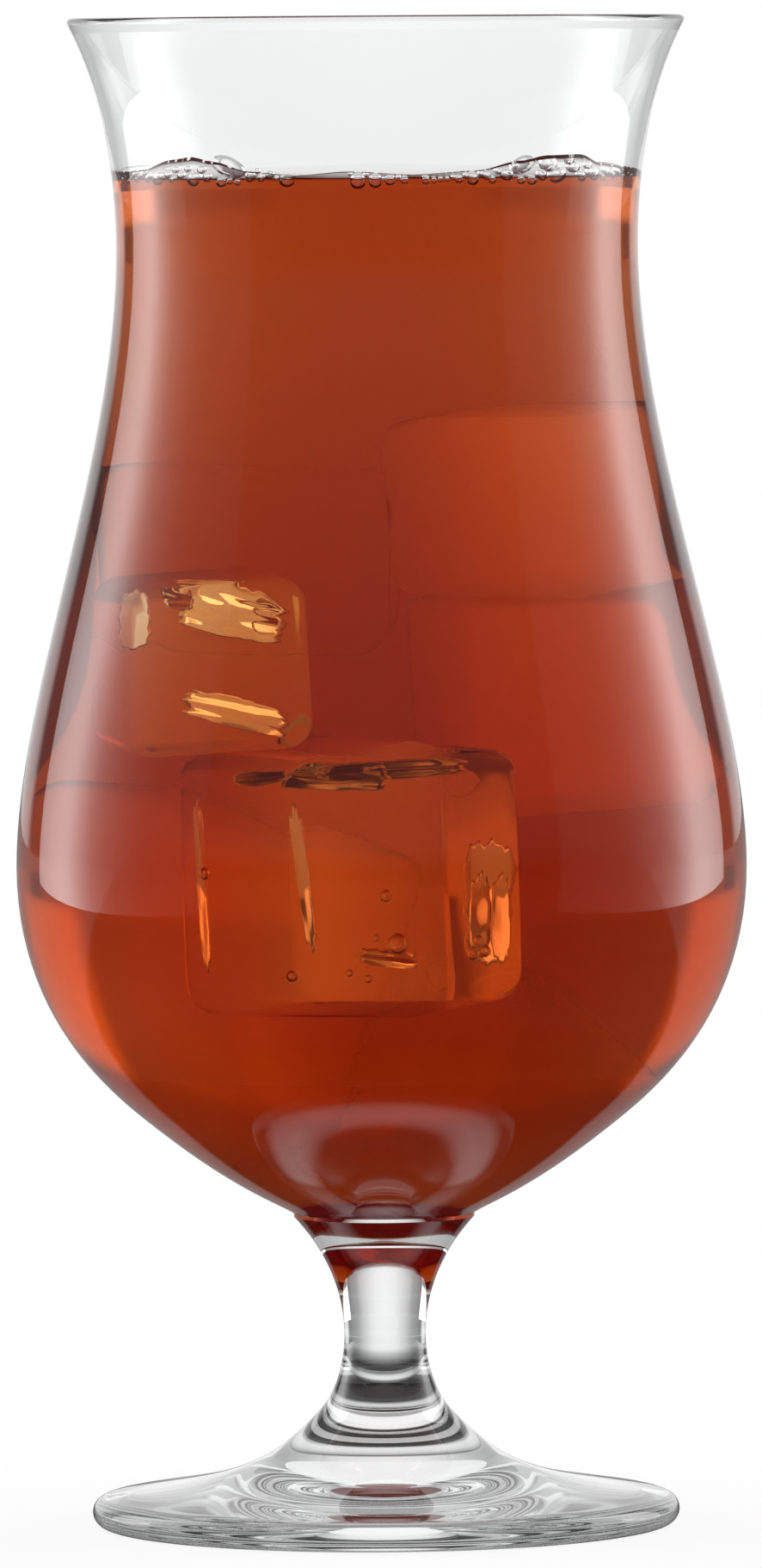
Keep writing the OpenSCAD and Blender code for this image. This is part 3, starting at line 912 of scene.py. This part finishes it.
class GLASS_OT_stage(bpy.types.Operator):
    """Sets the floor, the studio's lamps and backdrop, and the camera"""
    bl_idname = "glass.stage"
    bl_label = "Set the stage"

    def execute(self, context):
        scene = context.scene
        self.floor()
        self.card()
        self.backdrop(scene)
        self.panels()
        self.overhead()
        self.camera(scene)
        scene.view_settings.view_transform = "Standard"
        scene.cycles.volume_bounces = 3
        # Light is mirrored many times on its way through the foot and the stem
        scene.cycles.max_bounces = 128
        scene.cycles.transmission_bounces = 128
        scene.cycles.glossy_bounces = 128
        scene.cycles.transparent_max_bounces = 64
        return {"FINISHED"}

    def camera(self, scene):
        bpy.ops.object.camera_add(location=(0, -CAMERA_AWAY, CAMERA_H))
        camera = bpy.context.object
        camera.data.lens = LENS
        camera.data.sensor_width = 36
        camera.data.clip_start, camera.data.clip_end = 0.05, 50
        camera.rotation_mode = "QUATERNION"
        pitch = Matrix.Rotation(math.radians(90 - LOOK_DOWN), 4, "X")
        camera.rotation_quaternion = (pitch @ Matrix.Rotation(math.radians(ROLL), 4, "Z")).to_quaternion()
        scene.camera = camera

    def floor(self):
        """A white table. Round the foot, and in front of the glass, a matt black cloth is laid on it, which
        only reflections and the glass show: it gives the foot and the underside of the bowl dark lines."""
        start()
        bpy.ops.mesh.primitive_circle_add(vertices=96, radius=3.0, fill_type="NGON",
                                          location=(0, 0, -0.05 * MM))
        floor = bpy.context.object
        floor.name = "studio_floor"
        bpy.ops.object.transform_apply(location=True, rotation=True, scale=True)
        material, tree = new_material("Studio table, matt white laminate")
        path = add(tree, "ShaderNodeLightPath")
        spot = add(tree, "ShaderNodeTexCoord").outputs["Object"]
        spot_xyz = add(tree, "ShaderNodeSeparateXYZ", links={0: spot})
        away = add(tree, "ShaderNodeVectorMath", {"operation": "LENGTH"}, {0: spot}).outputs["Value"]
        near = add(tree, "ShaderNodeMapRange",
                   {"From Min": 0.05, "From Max": 0.1, "To Min": 0.04, "To Max": 1.0}, {"Value": away})
        # The cloth ends where the foot's hollow stands close over it, so that from above the foot is clear
        hollow = ramp(tree, away, [(18, 0), (20, 1), (27, 1), (29, 0)], 1000)
        close = add(tree, "ShaderNodeMapRange",
                    {"From Min": 0.004, "From Max": 0.008, "To Min": 1.0, "To Max": 0.0},
                    {"Value": path.outputs["Ray Length"]})
        bare = add(tree, "ShaderNodeMath", {"operation": "MULTIPLY"}, {0: hollow, 1: close})
        near = add(tree, "ShaderNodeMath", {"operation": "MAXIMUM"}, {0: near, 1: bare})
        behind = add(tree, "ShaderNodeMapRange",
                     {"From Min": 0.06, "From Max": 0.07, "To Min": 0.02, "To Max": 0.3},
                     {"Value": spot_xyz.outputs["Y"]})
        # The white paper behind the glass is brightest in line with it, and dims to both sides
        aside = aside_of(tree, spot_xyz)
        fan = ramp(tree, aside, LOW_FAN)
        far = add(tree, "ShaderNodeMapRange", {"From Min": 0.2, "From Max": 0.23}, {"Value": away})
        clear = add(tree, "ShaderNodeMath", {"operation": "LESS_THAN", 1: 0.5},
                    {0: path.outputs["Transparent Depth"]})
        beyond = add(tree, "ShaderNodeMix", {"A": 0.94}, {"Factor": clear, "B": ramp(tree, aside, LIP_FAN)})
        fan = add(tree, "ShaderNodeMix", links={"Factor": far, "A": fan, "B": beyond})
        near = add(tree, "ShaderNodeMath", {"operation": "MULTIPLY"}, {0: near, 1: fan})
        bent = add(tree, "ShaderNodeMix", {"B": 1.0}, {"Factor": path.outputs["Is Camera Ray"], "A": near})
        level = add(tree, "ShaderNodeMix",
                    links={"Factor": path.outputs["Is Reflection Ray"], "A": bent, "B": behind})
        # The camera sees the table as white as the backdrop, with a little of the real shadow near the glass
        seen = any_of(tree, path, "Is Camera Ray", "Is Glossy Ray", "Is Transmission Ray")
        part = add(tree, "ShaderNodeMapRange",
                   {"From Min": 0.15, "From Max": 0.5, "To Min": 0.12, "To Max": 0.0}, {"Value": away})
        part = add(tree, "ShaderNodeMath", {"operation": "MULTIPLY"},
                   {0: path.outputs["Is Camera Ray"], 1: part})
        share = add(tree, "ShaderNodeMath", {"operation": "SUBTRACT"}, {0: seen, 1: part})
        matt = add(tree, "ShaderNodeBsdfDiffuse", {"Color": linear("F2F2F2") + [1]})
        white = add(tree, "ShaderNodeEmission", {"Color": (1, 1, 1, 1)}, {"Strength": level})
        both = add(tree, "ShaderNodeMixShader", links={"Fac": share, 1: matt, 2: white})
        add(tree, "ShaderNodeOutputMaterial", links={"Surface": both})
        floor.data.materials.append(material)

    def card(self):
        """A low strip of paper that stands round the glass. Only the stem and the foot show it."""
        radius, high = 0.22, 0.038
        start()
        bpy.ops.mesh.primitive_cylinder_add(vertices=128, radius=radius, depth=high, end_fill_type="NOTHING",
                                            location=(0, 0, high / 2))
        card = bpy.context.object
        card.name = "studio_card"
        bpy.ops.object.transform_apply(location=True, rotation=True, scale=True)
        material, tree = new_material("Studio card, matt paper")
        spot = add(tree, "ShaderNodeTexCoord").outputs["Object"]
        fan = ramp(tree, aside_of(tree, add(tree, "ShaderNodeSeparateXYZ", links={0: spot})), LOW_FAN)
        paper = add(tree, "ShaderNodeEmission", {"Color": (1, 1, 1, 1)}, {"Strength": fan})
        add(tree, "ShaderNodeOutputMaterial", links={"Surface": paper})
        card.data.materials.append(material)
        card.visible_camera = card.visible_diffuse = card.visible_glossy = False
        card.visible_volume_scatter = card.visible_shadow = False

    def backdrop(self, scene):
        """A white backdrop. The glass also mirrors dark gaps beside it and the dim room in front."""
        world = bpy.data.worlds.new("Studio")
        scene.world = world
        world.use_nodes = True
        tree = world.node_tree
        tree.nodes.clear()
        path = add(tree, "ShaderNodeLightPath")
        towards = add(tree, "ShaderNodeSeparateXYZ",
                      links={0: add(tree, "ShaderNodeTexCoord").outputs["Generated"]})
        aside = aside_of(tree, towards)
        height = add(tree, "ShaderNodeMath", {"operation": "ARCSINE"}, {0: towards.outputs["Z"]})
        height = add(tree, "ShaderNodeMath", {"operation": "DIVIDE", 1: math.pi}, {0: height})
        low, middle, high = (ramp(tree, aside, stops) for stops in (BACK_LOW, BACK_MIDDLE, BACK_HIGH))
        through = by_height(tree, height, low, middle, 1.5, 2.5)
        through = by_height(tree, height, through, high, 25, 29)
        # What only clear glass stands before, the stem and the lip, shows the paper fading to both sides
        dry = add(tree, "ShaderNodeMath", {"operation": "LESS_THAN", 1: 0.5},
                  {0: path.outputs["Transparent Depth"]})
        through = add(tree, "ShaderNodeMix",
                      links={"Factor": dry, "A": through, "B": ramp(tree, aside, BACK_CLEAR)})
        room = (ramp(tree, aside, stops) for stops in (MIRRORED_LOW, MIRRORED_HIGH))
        mirrored = by_height(tree, height, *room, 0, 6)
        overhead = ramp(tree, height, [(0, 0), (30, 0), (50, 1)])
        mirrored = add(tree, "ShaderNodeMix", {"B": 0.5}, {"Factor": overhead, "A": mirrored})
        ceiling = ramp(tree, height, [(0, 0), (12, 0), (30, 1)])
        inside = add(tree, "ShaderNodeMix", {"B": 1.0}, {"Factor": ceiling, "A": ramp(tree, aside, INSIDE)})
        # Light that was mirrored more than once comes from all over the room, and is dimmer
        many = add(tree, "ShaderNodeMath", {"operation": "GREATER_THAN", 1: 1.5},
                   {0: path.outputs["Glossy Depth"]})
        inside = add(tree, "ShaderNodeMix", {"B": 0.5}, {"Factor": many, "A": inside})
        bounced = add(tree, "ShaderNodeMath", {"operation": "GREATER_THAN", 1: 0.5},
                      {0: path.outputs["Glossy Depth"]})
        bent = add(tree, "ShaderNodeMix", links={"Factor": bounced, "A": through, "B": inside})
        level = add(tree, "ShaderNodeMix",
                    links={"Factor": path.outputs["Is Reflection Ray"], "A": bent, "B": mirrored})
        shiny = any_of(tree, path, "Is Glossy Ray", "Is Transmission Ray")
        lit = add(tree, "ShaderNodeMix", {"A": 0.6}, {"Factor": shiny, "B": level})
        white = add(tree, "ShaderNodeMix", {"B": 1.0}, {"Factor": path.outputs["Is Camera Ray"], "A": lit})
        glow = add(tree, "ShaderNodeBackground", {"Color": (1, 1, 1, 1)}, {"Strength": white})
        add(tree, "ShaderNodeOutputWorld", links={"Surface": glow})

    def panels(self):
        """Two tall soft panels that stand on the table beside the glass, each with its lamp behind the middle,
        so that it is brightest there. Their reflections run down both sides of the glass."""
        for side in (-1, 1):
            run = PANEL_BACK - PANEL_FRONT
            middle = (PANEL_FRONT + PANEL_BACK) / 2
            out = Vector((-run.y, run.x, 0)).normalized()
            for v in (middle, out):
                v.x *= side
            middle.z = PANEL_H / 2
            name = "side_panel_" + ("left" if side < 0 else "right")
            watts = PANEL_LEVEL * math.pi * run.length * PANEL_H
            lamp = self.soft_lamp(name, middle, run.length, PANEL_H, watts)
            lamp.rotation_mode = "QUATERNION"
            lamp.rotation_quaternion = out.to_track_quat("-Z", "Y")
            lamp.data.use_nodes = True
            tree = lamp.data.node_tree
            tree.nodes.clear()
            across = add(tree, "ShaderNodeSeparateXYZ",
                         links={0: add(tree, "ShaderNodeNewGeometry").outputs["Parametric"]})
            stops = PANEL_GLOW if side > 0 else [(1 - at, level) for at, level in reversed(PANEL_GLOW)]
            light = add(tree, "ShaderNodeEmission", links={"Strength": ramp(tree, across, stops, 1)})
            add(tree, "ShaderNodeOutputLight", links={"Surface": light})

    def overhead(self):
        """A soft lamp over the glass, for the table and what is matt."""
        wide, watts = 1.2, 4
        self.soft_lamp("overhead_panel", (0, -0.2, 1.6), wide, wide, watts).visible_glossy = False

    def soft_lamp(self, name, place, wide, high, watts):
        """A rectangular lamp that shows neither to the camera nor through the glass."""
        bpy.ops.object.light_add(type="AREA", location=place)
        lamp = bpy.context.object
        lamp.name = name
        lamp.data.shape = "RECTANGLE"
        lamp.data.size, lamp.data.size_y = wide, high
        lamp.data.energy = watts
        lamp.visible_camera = lamp.visible_transmission = False
        return lamp


GROUPS = {"glass_bowl": BowlSizes, "glass_stand": StandSizes, "glass_fill": FillSizes}
STEPS = ["blow", "freeze", "pour", "froth", "stage"]


class GLASS_PT_panel(bpy.types.Panel):
    """Sizes of the glass, and the steps that make it"""
    bl_label = "Hurricane glass"
    bl_idname = "GLASS_PT_panel"
    bl_space_type = "VIEW_3D"
    bl_region_type = "UI"
    bl_category = "Glass"

    def draw(self, context):
        for group in GROUPS:
            box = self.layout.box()
            sizes = getattr(context.scene, group)
            for name in sizes.__annotations__:
                box.prop(sizes, name)
        for step in STEPS:
            self.layout.operator("glass." + step)


CLASSES = [*GROUPS.values(), GLASS_OT_blow, GLASS_OT_freeze, GLASS_OT_pour, GLASS_OT_froth, GLASS_OT_stage,
           GLASS_PT_panel]


def register():
    for c in CLASSES:
        bpy.utils.register_class(c)
    for name, group in GROUPS.items():
        setattr(bpy.types.Scene, name, bpy.props.PointerProperty(type=group))


def unregister():
    for name in GROUPS:
        delattr(bpy.types.Scene, name)
    for c in reversed(CLASSES):
        bpy.utils.unregister_class(c)


def main():
    register()
    for step in STEPS:
        getattr(bpy.ops.glass, step)()
    start()


if __name__ == "__main__":
    main()
